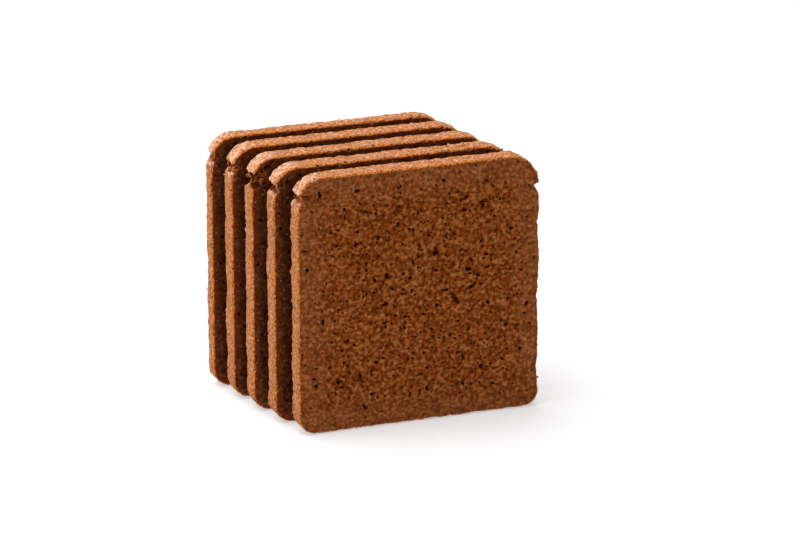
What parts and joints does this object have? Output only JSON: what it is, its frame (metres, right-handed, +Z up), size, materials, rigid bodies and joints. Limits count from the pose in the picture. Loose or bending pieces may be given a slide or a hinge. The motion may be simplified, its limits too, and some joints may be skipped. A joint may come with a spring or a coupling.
{
  "type": "sliced pumpernickel block",
  "caption": "Square dark rye bread cut into thin slices that stand upright one behind another, with rounded crust shoulders, a flat foot and porous cut faces.",
  "frame": {"origin": "on the table, under the middle of the block's bounding box", "axes": "+Z up; the cut faces look along Y, with the front slice at -Y; each slice stands further to -X than the one in front of it"},
  "size_m": [0.114, 0.0708, 0.104],
  "materials": {
    "bread": "dark brown dense rye crumb with small pores on the cut faces, tan crust around the edge, matte"
  },
  "bodies": {
    "root": {"slice_1": "bread", "slice_2": "bread", "slice_3": "bread", "slice_4": "bread", "slice_5": "bread"}
  },
  "joints": []
}
